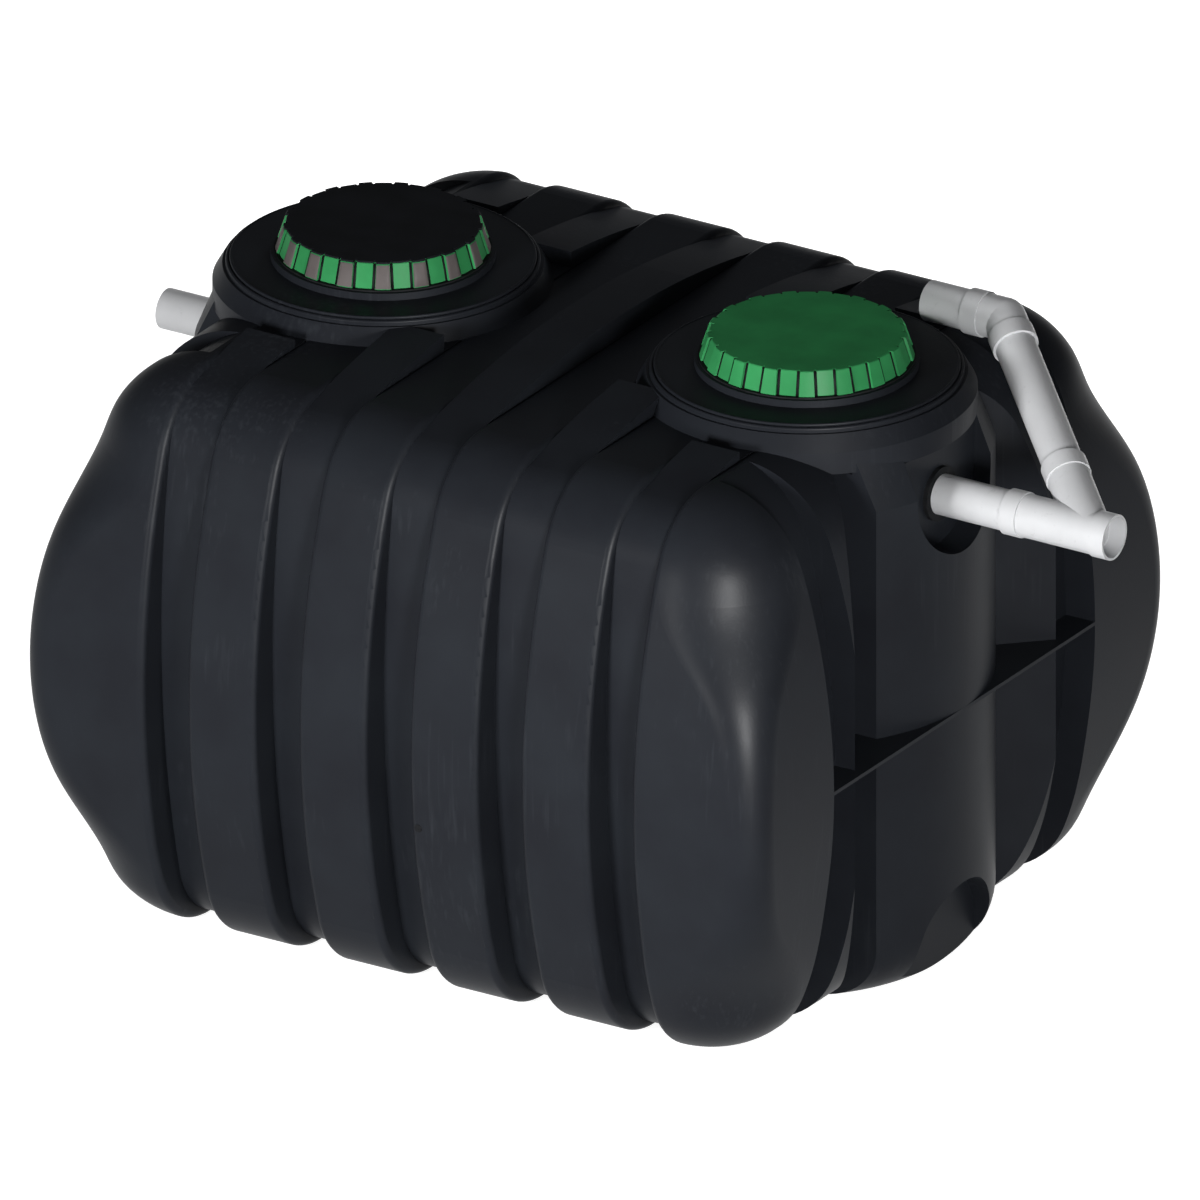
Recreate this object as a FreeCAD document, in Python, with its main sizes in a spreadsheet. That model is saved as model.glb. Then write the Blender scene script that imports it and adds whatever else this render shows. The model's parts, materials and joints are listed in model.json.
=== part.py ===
# Packaged sewage treatment plant: a ribbed black polyethylene tank with two
# manhole necks, screw lids and grey drain pipes.
# Millimetres. X runs along the tank towards the inlet end, Z is up, and the
# origin is the middle of the underside of the tank.
import FreeCAD
import Part
import Sketcher
import math
import os

from FreeCAD import Placement, Rotation, Vector

doc = FreeCAD.newDocument("treatment_plant")

# Driving dimensions
SIZES = [
    ("tank_length", 2280),
    ("tank_width", 2070),
    ("tank_height", 1585),
    ("parting", 770),
    ("wall", 10),
    ("shoulder", 190),
    ("side_bulge", 90),
    ("end_bulge", 86),
    ("side_corner", 245),
    ("end_corner", 290),
    ("corner_mid", 86),
    ("corner_shoulder", 270),
    ("corner_top", 40),
    ("hoop_pitch", 343),
    ("groove_width", 135),
    ("panel_round", 20),
    ("hoop_depth", 95),
    ("hoop_depth_top", 30),
    ("hoop_depth_low", 80),
    ("hoop_corner_top", 175),
    ("hoop_corner_low", 240),
    ("hoop_rise", 60),
    ("hoop_span", 630),
    ("stub_inner", 315),
    ("stub_outer", 503),
    ("lobe_inner", 647),
    ("crest_half", 498),
    ("end_groove_depth", 90),
    ("end_groove_bulge", 70),
    ("end_groove_lift", 15),
    ("crest_setback", 28),
    ("recess_root", 904),
    ("column_half", 296),
    ("column_radius", 542),
    ("column_top", 1425),
    ("column_foot", 168),
    ("pad_setback", 82),
    ("pad_radius", 180),
    ("pad_lift", 35),
    ("arch_apex", 275),
    ("web_thick", 10),
    ("roof_edge", 1350),
    ("lobe_edge", 662),
    ("ridge_half", 345),
    ("neck_x", 654),
    ("skirt_radius", 422),
    ("skirt_foot", 448),
    ("skirt_height", 45),
    ("skirt_sink", 60),
    ("flange_radius", 414),
    ("flange_step", 402),
    ("flange_height", 20),
    ("collar_radius", 296),
    ("collar_height", 20),
    ("manhole_radius", 236),
    ("spigot_wall", 9),
    ("spigot_height", 62),
    ("thread_out", 3),
    ("seal_height", 4),
    ("lid_base", 283),
    ("lid_top", 262),
    ("lid_height", 65),
    ("lid_skin", 6),
    ("lid_notch", 8),
    ("lug_gap_low", 38),
    ("lug_gap_top", 58),
    ("cover_radius", 236),
    ("cover_thick", 5),
    ("pipe_radius", 55),
    ("pipe_wall", 3.2),
    ("stop_radius", 61),
    ("stop_width", 8),
    ("inlet_level", 1370),
    ("outlet_level", 1340),
    ("pipe_inside", 150),
    ("outlet_reach", 1323),
    ("seal_radius", 74),
    ("seal_thick", 12),
    ("fitting_radius", 58.2),
    ("socket_radius", 62),
    ("socket_depth", 49),
    ("wye_start", 1281),
    ("wye_end", 1603),
    ("branch_x", 1529),
    ("branch_roll", 31.6),
    ("branch_reach", 250),
    ("riser_length", 797),
    ("elbow_leg", 105),
    ("vent_end", 735),
]
LUGS = 17

sheet = doc.addObject("Spreadsheet::Sheet", "Sizes")
S = {}
for row, (name, value) in enumerate(SIZES, start=1):
    sheet.set("A%d" % row, name)
    sheet.set("B%d" % row, str(value))
    sheet.setAlias("B%d" % row, name)
    S[name] = float(value)
doc.recompute()

X_WAYS = Rotation(Vector(0, 1, 0), 90)
PLANE_YZ = Rotation(Vector(1, 1, 1), 120)
PLANE_XZ = Rotation(Vector(1, 0, 0), 90)
UPRIGHT = Rotation()


def bind(target, **formulas):
    """Bind properties of an object to formulas in the sheet's names."""
    for prop, formula in formulas.items():
        path = prop.replace("__", ".")
        target.setExpression(path, expand(formula))


def expand(formula):
    """Put the sheet's name before each of its aliases in a formula."""
    out = ""
    word = ""
    for char in str(formula) + " ":
        if char.isalnum() or char == "_":
            word += char
            continue
        out += "Sizes." + word if word in S else word
        out += char
        word = ""
    return out.strip()


def place(target, x="0", y="0", z="0", turn=UPRIGHT):
    """Set an object's rotation and bind its position."""
    target.Placement = Placement(Vector(0, 0, 0), turn)
    bind(target, Placement__Base__x=x, Placement__Base__y=y, Placement__Base__z=z)
    return target


def box(name, x0, x1, y0, y1, z0, z1):
    """A box between two bound corners."""
    made = doc.addObject("Part::Box", name)
    bind(made, Length="(%s) - (%s)" % (x1, x0))
    bind(made, Width="(%s) - (%s)" % (y1, y0))
    bind(made, Height="(%s) - (%s)" % (z1, z0))
    return place(made, x0, y0, z0)


def rod(name, radius, length, x="0", y="0", z="0", turn=UPRIGHT):
    """A cylinder that starts at a bound point."""
    made = doc.addObject("Part::Cylinder", name)
    bind(made, Radius=radius, Height=length)
    return place(made, x, y, z, turn)


def ball(name, radius, x, y, z):
    """A sphere about a bound point."""
    made = doc.addObject("Part::Sphere", name)
    bind(made, Radius=radius)
    return place(made, x, y, z)


def fuse(name, pieces):
    """Join several objects into one."""
    made = doc.addObject("Part::MultiFuse", name)
    made.Shapes = pieces
    made.Refine = True
    return made


def cut(name, base, tool):
    """Take one object away from another."""
    made = doc.addObject("Part::Cut", name)
    made.Base = base
    made.Tool = tool
    return made


def common(name, base, tool):
    """Keep what two objects share."""
    made = doc.addObject("Part::Common", name)
    made.Base = base
    made.Tool = tool
    return made


def extrude(name, sketch, length):
    """A prism on a sketch, half its length to either side."""
    made = doc.addObject("Part::Extrusion", name)
    made.Base = sketch
    made.DirMode = "Normal"
    made.Solid = True
    made.Symmetric = True
    bind(made, LengthFwd=length)
    return made


def dimension(sketch, name, index, formula):
    """Name a sketch dimension and bind it."""
    sketch.renameConstraint(index, name)
    sketch.setExpression("Constraints." + name, expand(formula))


# Outline of the moulding: bulged sides, round shoulders, flat or arched top
def outline_sketch(name, turn, half, sides, corners, top, bottom, crown=None):
    """Sketch a closed outline about the middle height of the tank.

    sides is the centre height and radius of the bulged side arcs, corners the
    upper and lower corner radii, top and bottom the heights of the flats, and
    crown the radius of an arched top. Each is a number and its formula.
    """
    side_z, side_r = sides
    up_r, low_r = corners
    sketch = doc.addObject("Sketcher::SketchObject", name)
    sketch.Placement = Placement(Vector(0, 0, 0), turn)
    bind(sketch, Placement__Base__z="tank_height / 2")

    side_x = half[0] - side_r[0]
    drop = low_r[0] + bottom[0]
    low_x = side_x + math.sqrt((side_r[0] - low_r[0]) ** 2 - (drop - side_z[0]) ** 2)
    low = Vector(low_x, drop, 0)
    if crown is None:
        rise = top[0] - up_r[0]
        up_x = side_x + math.sqrt((side_r[0] - up_r[0]) ** 2 - (rise - side_z[0]) ** 2)
        up = Vector(up_x, rise, 0)
    else:
        up = meet(side_x, side_z[0], side_r[0] - up_r[0], top[0] - crown[0], crown[0] - up_r[0])
    side_up = math.atan2(up.y - side_z[0], up.x - side_x)
    side_low = math.atan2(low.y - side_z[0], low.x - side_x)
    full = math.pi
    crown_angle = full / 2
    if crown is not None:
        crown_angle = math.atan2(up.y - top[0] + crown[0], up.x)

    def arc(x, y, radius, start, end):
        circle = Part.Circle(Vector(x, y, 0), Vector(0, 0, 1), radius)
        return sketch.addGeometry(Part.ArcOfCircle(circle, start, end))

    right = arc(side_x, side_z[0], side_r[0], side_low, side_up)
    up_right = arc(up.x, up.y, up_r[0], side_up, crown_angle)
    if crown is None:
        start = Vector(up.x, top[0], 0)
        roof = sketch.addGeometry(Part.LineSegment(start, Vector(-up.x, top[0], 0)))
    else:
        roof = arc(0, top[0] - crown[0], crown[0], crown_angle, full - crown_angle)
    up_left = arc(-up.x, up.y, up_r[0], full - crown_angle, full - side_up)
    left = arc(-side_x, side_z[0], side_r[0], full - side_up, full - side_low)
    low_left = arc(-low.x, low.y, low_r[0], full - side_low, 1.5 * full)
    start = Vector(-low.x, bottom[0], 0)
    base = sketch.addGeometry(Part.LineSegment(start, Vector(low.x, bottom[0], 0)))
    low_right = arc(low.x, low.y, low_r[0], 1.5 * full, 2 * full + side_low)

    ring = [right, up_right, roof, up_left, left, low_left, base, low_right]
    for first, second in zip(ring, ring[1:] + ring[:1]):
        sketch.addConstraint(Sketcher.Constraint("Tangent", first, 2, second, 1))
    add = sketch.addConstraint
    rule = Sketcher.Constraint
    dimension(sketch, "side_radius", add(rule("Radius", right, side_r[0])), side_r[1])
    add(rule("Equal", right, left))
    dimension(sketch, "upper_radius", add(rule("Radius", up_right, up_r[0])), up_r[1])
    add(rule("Equal", up_right, up_left))
    dimension(sketch, "lower_radius", add(rule("Radius", low_right, low_r[0])), low_r[1])
    add(rule("Equal", low_right, low_left))
    centre = "(%s) - (%s)" % (half[1], side_r[1])
    dimension(sketch, "right_x", add(rule("DistanceX", right, 3, side_x)), centre)
    dimension(sketch, "left_x", add(rule("DistanceX", left, 3, -side_x)), "-1 * (%s)" % centre)
    dimension(sketch, "right_z", add(rule("DistanceY", right, 3, side_z[0])), side_z[1])
    dimension(sketch, "left_z", add(rule("DistanceY", left, 3, side_z[0])), side_z[1])
    add(rule("Horizontal", base))
    dimension(sketch, "base_z", add(rule("DistanceY", base, 1, bottom[0])), bottom[1])
    if crown is None:
        add(rule("Horizontal", roof))
        dimension(sketch, "roof_z", add(rule("DistanceY", roof, 1, top[0])), top[1])
    else:
        dimension(sketch, "crown_radius", add(rule("Radius", roof, crown[0])), crown[1])
        add(rule("PointOnObject", roof, 3, -2))
        height = "(%s) - (%s)" % (top[1], crown[1])
        dimension(sketch, "crown_z", add(rule("DistanceY", roof, 3, top[0] - crown[0])), height)
    return sketch


def meet(side_x, side_z, side_reach, crown_z, crown_reach):
    """The upper right crossing of a circle about a side centre and one about a crown centre."""
    apart = math.hypot(side_x, side_z - crown_z)
    along = (crown_reach ** 2 - side_reach ** 2 + apart ** 2) / (2 * apart)
    across = math.sqrt(crown_reach ** 2 - along ** 2)
    ux = side_x / apart
    uz = (side_z - crown_z) / apart
    options = []
    for sign in (1, -1):
        options.append(Vector(ux * along - sign * uz * across, crown_z + uz * along + sign * ux * across, 0))
    return max(options, key=lambda p: p.x)


def number(formula):
    """The value of a formula in the sheet's names."""
    cell = doc.addObject("App::FeaturePython", "reading")
    cell.addProperty("App::PropertyFloat", "Value")
    cell.setExpression("Value", expand(formula))
    cell.recompute()
    value = cell.Value
    doc.removeObject(cell.Name)
    return value


def valued(formula):
    """A number with its formula."""
    return (number(formula), formula)


HALF = "(tank_height / 2)"
BELLY = "(parting - tank_height / 2)"
TANGENT = "(parting - shoulder)"


def bulge_radius(bulge):
    """Radius of a side arc that stands out by a bulge between the shoulders."""
    return "((%s ^ 2 + %s ^ 2) / (2 * %s))" % (TANGENT, bulge, bulge)


def shoulder_radius(bulge, lift):
    """Radius of the shoulder that runs from such a side arc to a flat."""
    return "((shoulder + %s) / (1 - %s / %s))" % (lift, TANGENT, bulge_radius(bulge))


def barrel(name, turn, half, bulge, corner, inset, lift="0"):
    """An outline with bulged sides, drawn in by an inset, its flats moved out by a lift."""
    side = valued("%s - %s" % (bulge_radius(bulge), inset))
    upper = valued("%s - %s" % (corner, inset))
    lower = valued("%s - %s" % (shoulder_radius(bulge, lift), inset))
    return outline_sketch(
        name,
        turn,
        valued("%s - %s" % (half, inset)),
        (valued(BELLY), side),
        (upper, lower),
        valued("%s + %s - %s" % (HALF, lift, inset)),
        valued("%s - %s - %s" % (inset, lift, HALF)),
    )


def hoop_outline(name, inset):
    """The outline of a hoop: drawn in at the sides and arched over the roof."""
    reach = "(%s - 40)" % TANGENT
    dip = "((hoop_depth_top + hoop_depth_low) / 2 + side_bulge - hoop_depth)"
    lean = "((hoop_depth_low - hoop_depth_top) / 2)"
    radius = "((%s ^ 2 + %s ^ 2) / (2 * %s))" % (reach, dip, dip)
    middle = "(%s * %s / %s)" % (radius, lean, reach)
    crown = "((hoop_span ^ 2 + hoop_rise ^ 2) / (2 * hoop_rise))"
    half = "(tank_width / 2 - hoop_depth - %s)" % inset
    return outline_sketch(
        name,
        PLANE_YZ,
        valued(half),
        (valued("%s + %s" % (BELLY, middle)), valued("%s - %s" % (radius, inset))),
        (valued("hoop_corner_top - %s" % inset), valued("hoop_corner_low - %s" % inset)),
        valued("%s + hoop_rise - %s" % (HALF, inset)),
        valued("%s - %s" % (inset, HALF)),
        valued("%s - %s" % (crown, inset)),
    )


def rounded_rims(name, base, radius):
    """Round the edges of an object that lie in planes across the tank."""
    doc.recompute()
    rims = []
    for index, edge in enumerate(base.Shape.Edges, start=1):
        first, last = edge.ParameterRange
        along_x = [edge.valueAt(first + (last - first) * k / 4).x for k in range(5)]
        if max(along_x) - min(along_x) < 0.01:
            rims.append((index, radius, radius))
    made = doc.addObject("Part::Fillet", name)
    made.Base = base
    made.Edges = rims
    return made


# Stacked rounded rectangles that make the smooth end of the moulding
def half_at(half, bulge, corner, height, inset):
    """Half width at a height from the parting line, for a bulged and shouldered wall."""
    tangent = S["parting"] - S["shoulder"]
    side = (tangent ** 2 + bulge ** 2) / (2 * bulge)
    flat = S["tank_height"] - S["parting"]
    if height < 0:
        flat = S["parting"]
        corner = S["shoulder"] / (1 - tangent / side)
    rise = flat - corner
    if abs(height) <= rise * (side - inset) / (side - corner):
        return half - side + math.sqrt((side - inset) ** 2 - height ** 2)
    middle = half - side + math.sqrt((side - corner) ** 2 - rise ** 2)
    up = min(abs(height) - rise, corner - inset)
    return middle + math.sqrt((corner - inset) ** 2 - up ** 2)


def rounded_rectangle(half_x, half_y, radius, height):
    """A level rectangle with round corners."""
    edges = []
    arcs = []
    for turn, (sx, sy) in enumerate([(1, 1), (-1, 1), (-1, -1), (1, -1)]):
        middle = Vector(sx * (half_x - radius), sy * (half_y - radius), height)
        angles = [math.pi / 2 * turn + math.pi / 4 * k for k in range(3)]
        arcs.append([middle + Vector(math.cos(a), math.sin(a), 0) * radius for a in angles])
    for arc, after in zip(arcs, arcs[1:] + arcs[:1]):
        edges.append(Part.Arc(*arc).toShape())
        edges.append(Part.LineSegment(arc[2], after[0]).toShape())
    return Part.Wire(edges)


def moulded_block(name, inset):
    """The tank without ribs, its upright corners narrow at the parting line."""
    long_half = S["tank_length"] / 2
    wide_half = S["tank_width"] / 2
    side = (wide_half, S["side_bulge"], S["side_corner"])
    end = (long_half, S["end_bulge"], S["end_corner"])
    tangent = S["parting"] - S["shoulder"]
    wires = []
    for way, full in ((-1, S["parting"]), (1, S["tank_height"] - S["parting"])):
        top = full - inset
        shoulders = [tangent + (top - tangent) * f for f in (0.35, 0.65, 0.86, 0.97, 1.0)]
        levels = [tangent * f for f in (0.25, 0.6, 1.0)] + shoulders
        wide_top = half_at(*side, way * top, inset)
        wide_tangent = half_at(*side, way * tangent, inset)
        stack = []
        for z in levels:
            half_x = half_at(*end, way * z, inset)
            half_y = half_at(*side, way * z, inset)
            share = min((z / tangent) ** 2, 1)
            radius = S["corner_mid"] + (S["corner_shoulder"] - S["corner_mid"]) * share
            if z > tangent:
                inward = (wide_tangent - half_y) / (wide_tangent - wide_top)
                radius += (S["corner_top"] - S["corner_shoulder"]) * inward
            stack.append(rounded_rectangle(half_x, half_y, radius - inset, S["parting"] + way * z))
        wires += stack if way > 0 else stack[::-1]
    made = doc.addObject("Part::Feature", name)
    made.Shape = Part.makeLoft(wires, True, False)
    return made


def plan_prism(name, corners):
    """An upright prism through the tank over a plan of bound corners."""
    sketch = doc.addObject("Sketcher::SketchObject", name + "_plan")
    bind(sketch, Placement__Base__z="tank_height / 2")
    points = [Vector(number(x), number(y), 0) for x, y in corners]
    lines = []
    for start, end in zip(points, points[1:] + points[:1]):
        lines.append(sketch.addGeometry(Part.LineSegment(start, end)))
    for first, second in zip(lines, lines[1:] + lines[:1]):
        sketch.addConstraint(Sketcher.Constraint("Coincident", first, 2, second, 1))
    for count, (line, point, (x, y)) in enumerate(zip(lines, points, corners)):
        index = sketch.addConstraint(Sketcher.Constraint("DistanceX", line, 1, point.x))
        dimension(sketch, "x%d_at" % count, index, x)
        index = sketch.addConstraint(Sketcher.Constraint("DistanceY", line, 1, point.y))
        dimension(sketch, "y%d_at" % count, index, y)
    return extrude(name, sketch, "tank_height * 2")


LONG = "(tank_length / 2)"
PANEL_END = "(2 * hoop_pitch - groove_width / 2)"
END_START = "(2 * hoop_pitch + groove_width / 2)"
HUGE = "4000"


def bands(name, margin):
    """Slabs across the tank at the five hoops, wider than the grooves by a margin at each side."""
    slabs = []
    for count in (-2, -1, 0, 1, 2):
        x0 = "%d * hoop_pitch - groove_width / 2 - (%s)" % (count, margin)
        x1 = "%d * hoop_pitch + groove_width / 2 + (%s)" % (count, margin)
        slabs.append(box("%s_%d" % (name, count + 3), x0, x1, "-2000", "2000", "-100", "2000"))
    return fuse(name + "s", slabs)


def moulding(tag, inset):
    """The tank as one solid, drawn in by an inset all round."""
    # panels between the hoops
    panel = barrel(tag + "_panel_outline", PLANE_YZ, "tank_width / 2", "side_bulge", "side_corner", inset)
    bar = extrude(tag + "_panel_bar", panel, "2 * (%s - %s)" % (PANEL_END, inset))
    slabs = []
    for count in (-1, 0, 1):
        x0 = "%d * hoop_pitch - groove_width / 2 - %s" % (count, inset)
        x1 = "%d * hoop_pitch + groove_width / 2 + %s" % (count, inset)
        slabs.append(box("%s_gap_%d" % (tag, count + 2), x0, x1, "-2000", "2000", "-100", "2000"))
    panels = cut(tag + "_panels", bar, fuse(tag + "_gaps", slabs))
    if inset == "0":
        panels = rounded_rims(tag + "_panels_round", panels, S["panel_round"])

    # hoops round the tank
    hoop = extrude(tag + "_hoop_bar", hoop_outline(tag + "_hoop_outline", inset), "4 * hoop_pitch + 600")
    hoops = common(tag + "_hoops", hoop, bands(tag + "_band", "6 - %s" % inset))
    trims = []
    for side, sign in (("inlet", 1), ("outlet", -1)):
        for count, reach in ((1, "stub_inner"), (2, "stub_outer")):
            middle = "%d * hoop_pitch" % (sign * count)
            name = "%s_%s_trim_%d" % (tag, side, count)
            span = ("%s - groove_width" % middle, "%s + groove_width" % middle)
            y = "(%s + %s)" % (reach, inset)
            trims.append(box(name, span[0], span[1], "-" + y, y, "tank_height - %s" % inset, "2000"))
    hoops = cut(tag + "_hoop_stubs", hoops, fuse(tag + "_trims", trims))
    if inset != "0":
        long_bar = extrude(tag + "_long_bar", panel, "4 * hoop_pitch + 600")
        inner = common(tag + "_hoop_core", hoop, long_bar)
        hoops = fuse(tag + "_hoops_open", [hoops, common(tag + "_links", inner, bands(tag + "_link", "2 * wall"))])

    # ends with their lobes, upright grooves and recesses
    block = moulded_block(tag + "_block", S["wall"] if inset != "0" else 0.0)
    ends = []
    for side, sign in (("inlet", 1), ("outlet", -1)):
        x0 = "%s + %s" % (END_START, inset) if sign > 0 else "-2000"
        x1 = "2000" if sign > 0 else "-(%s + %s)" % (END_START, inset)
        half = box("%s_%s_half" % (tag, side), x0, x1, "-2000", "2000", "-100", "2000")
        end = common("%s_%s_block" % (tag, side), block, half)
        if inset == "0":
            end = rounded_rims("%s_%s_round" % (tag, side), end, S["panel_round"])
        ends.append(end)
    floor = "(tank_length / 2 - end_groove_depth)"
    shape = ("end_groove_bulge", "end_corner", inset, "end_groove_lift")
    groove = barrel(tag + "_groove_outline", PLANE_XZ, floor, *shape)
    groove_bar = extrude(tag + "_groove_bar", groove, "3000")
    tools = []
    for side, sign in (("inlet", 1), ("outlet", -1)):
        for hand, way in (("front", -1), ("back", 1)):
            y0 = "%d * (crest_half - %s)" % (way, inset)
            y1 = "%d * (lobe_inner + %s)" % (way, inset)
            if way < 0:
                y0, y1 = y1, y0
            x0 = "%s + 30" % END_START if sign > 0 else "-2000"
            x1 = "2000" if sign > 0 else "-(%s + 30)" % END_START
            name = "%s_%s_%s_slot" % (tag, side, hand)
            slot = box(name, x0, x1, y0, y1, "-100", "2000")
            tools.append(cut(name + "_cut", slot, groove_bar))
        crest = "(%s - crest_setback)" % LONG
        plan = [
            ("%d * (recess_root - %s)" % (sign, inset), "-(column_half + %s * 0.4)" % inset),
            ("%d * %s" % (sign, crest), "-(crest_half + %s * 1.4)" % inset),
            ("%d * 2000" % sign, "-(crest_half + %s * 1.4)" % inset),
            ("%d * 2000" % sign, "crest_half + %s * 1.4" % inset),
            ("%d * %s" % (sign, crest), "crest_half + %s * 1.4" % inset),
            ("%d * (recess_root - %s)" % (sign, inset), "column_half + %s * 0.4" % inset),
        ]
        tools.append(plan_prism("%s_%s_recess" % (tag, side), plan))
    shaped = cut(tag + "_ends", fuse(tag + "_end_blocks", ends), fuse(tag + "_end_tools", tools))

    # columns, pads, pinched webs and neck skirts
    extras = []
    for side, sign in (("inlet", 1), ("outlet", -1)):
        extras.append(column(tag, side, sign, inset))
        if inset == "0":
            x0 = "recess_root - 60" if sign > 0 else "-%s" % LONG
            x1 = LONG if sign > 0 else "-(recess_root - 60)"
            y = "(lobe_inner + 10)"
            z0 = "parting - web_thick / 2"
            z1 = "parting + web_thick / 2"
            extras.append(box("%s_%s_web" % (tag, side), x0, x1, "-" + y, y, z0, z1))
        name = "%s_%s_skirt" % (tag, side)
        x = "%d * neck_x" % sign
        low = "tank_height - skirt_sink - %s" % inset
        extras.append(rod(name + "_root", "skirt_foot - %s" % inset, "skirt_sink", x, "0", low))
        cone = doc.addObject("Part::Cone", name)
        bind(cone, Radius1="skirt_foot - %s" % inset, Radius2="skirt_radius - %s" % inset, Height="skirt_height")
        extras.append(place(cone, x, "0", "tank_height - %s" % inset))
    middle = fuse(tag + "_middle", [panels, hoops])
    length = fuse(tag + "_length", [middle, shaped])
    return fuse(tag + "_body", [length] + extras)


def column(tag, side, sign, inset):
    """The rounded column at one end, with a flat pad round the pipe and an arch at its foot."""
    name = "%s_%s_column" % (tag, side)
    middle = "%d * (%s - column_radius)" % (sign, LONG)
    foot = "(column_foot - %s)" % inset
    radius = "(column_radius - %s)" % inset
    shaft = rod(name + "_shaft", radius, "column_top - column_foot", middle, "0", "column_foot")
    base = rod(name + "_base", "%s - %s" % (radius, foot), "column_foot - %s" % inset, middle, "0", inset)
    ring = doc.addObject("Part::Torus", name + "_ring")
    bind(ring, Radius1="%s - %s" % (radius, foot), Radius2=foot)
    place(ring, middle, "0", "column_foot")
    flare = doc.addObject("Part::Cone", name + "_flare")
    bind(flare, Radius1=radius, Radius2="neck_x + skirt_radius - %s + column_radius - %s" % (LONG, inset))
    bind(flare, Height="tank_height - column_top - %s" % inset)
    place(flare, middle, "0", "column_top")
    whole = fuse(name + "_whole", [shaft, base, ring, flare])
    half = "(column_half - %s)" % inset
    x0 = END_START if sign > 0 else "-2000"
    x1 = "2000" if sign > 0 else "-%s" % END_START
    slice_box = box(name + "_slice", x0, x1, "-" + half, half, "-100", "2000")
    kept = common(name + "_kept", whole, slice_box)

    level = "inlet_level" if sign > 0 else "outlet_level"
    face = "(%s - pad_setback - %s)" % (LONG, inset)
    start = face if sign > 0 else "-%s" % face
    turn = X_WAYS if sign > 0 else Rotation(Vector(0, 1, 0), -90)
    wide = "(pad_radius + %s)" % inset
    x0 = face if sign > 0 else "-2000"
    x1 = "2000" if sign > 0 else "-%s" % face
    disc = rod(name + "_pad_disc", wide, "600", start, "0", level + " + pad_lift", turn)
    rise = box(name + "_pad_rise", x0, x1, "-" + wide, wide, level + " + pad_lift", "tank_height")
    arch = rod(name + "_arch_disc", wide, "600", start, "0", "arch_apex - pad_radius", turn)
    fall = box(name + "_arch_fall", x0, x1, "-" + wide, wide, "-100", "arch_apex - pad_radius")
    return cut(name, kept, fuse(name + "_pads", [disc, rise, arch, fall]))


outer = moulding("outer", "0")
cavity = moulding("cavity", "wall")
doc.recompute()
shell = cut("shell", outer, cavity)

# Openings: manholes through the necks, and the bores of the two drain pipes
bores = []
for side, sign in (("inlet", 1), ("outlet", -1)):
    x = "%d * neck_x" % sign
    bores.append(rod(side + "_manhole", "manhole_radius", "400", x, "0", "tank_height - 200"))
    turn = X_WAYS if sign > 0 else Rotation(Vector(0, 1, 0), -90)
    level = "inlet_level" if sign > 0 else "outlet_level"
    start = "%d * (%s - pad_setback - 100)" % (sign, LONG)
    bores.append(rod(side + "_pipe_bore", "pipe_radius", "300", start, "0", level, turn))
shell = cut("shell_open", shell, fuse("shell_bores", bores))

NODES = []


def keep(node):
    """Hand in an object as a piece of the part."""
    node.Label = node.Name
    NODES.append(node)
    return node


# The shell in pieces: floor, walls, corners, roof and necks
FAR = "2000"
keep(common("tank_floor", shell, box("floor_zone", "-" + FAR, FAR, "-" + FAR, FAR, "-100", "shoulder")))
for side, y0, y1 in (("front", "-" + FAR, "0"), ("back", "0", FAR)):
    zone = box(side + "_zone", "-" + END_START, END_START, y0, y1, "shoulder", "roof_edge")
    keep(common(side + "_wall", shell, zone))
for side, x0, x1 in (("inlet", END_START, FAR), ("outlet", "-" + FAR, "-" + END_START)):
    zone = box(side + "_zone", x0, x1, "-lobe_edge", "lobe_edge", "shoulder", "roof_edge")
    keep(common(side + "_end_wall", shell, zone))
    zone = box(side + "_front_zone", x0, x1, "-" + FAR, "-lobe_edge", "shoulder", "roof_edge")
    keep(common(side + "_front_corner", shell, zone))
    zone = box(side + "_back_zone", x0, x1, "lobe_edge", FAR, "shoulder", "roof_edge")
    keep(common(side + "_back_corner", shell, zone))
neck_zones = []
for side, sign in (("inlet", 1), ("outlet", -1)):
    x = "%d * neck_x" % sign
    zone = rod(side + "_neck_zone", "skirt_foot + 5", "300", x, "0", "tank_height")
    neck_zones.append(zone)
    keep(common(side + "_neck", shell, zone))
zone = box("roof_zone", "-" + FAR, FAR, "-" + FAR, FAR, "roof_edge", FAR)
upper = cut("roof_all", common("roof_shell", shell, zone), fuse("neck_zones", neck_zones))
middle = box("ridge_zone", "-neck_x", "neck_x", "-ridge_half", "ridge_half", "0", FAR)
keep(common("roof_middle", upper, middle))
for side, y0, y1 in (("front", "-" + FAR, "0"), ("back", "0", FAR)):
    zone = box("roof_%s_zone" % side, "-" + FAR, FAR, y0, y1, "0", FAR)
    keep(cut("roof_" + side, common("roof_%s_all" % side, upper, zone), middle))


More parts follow.
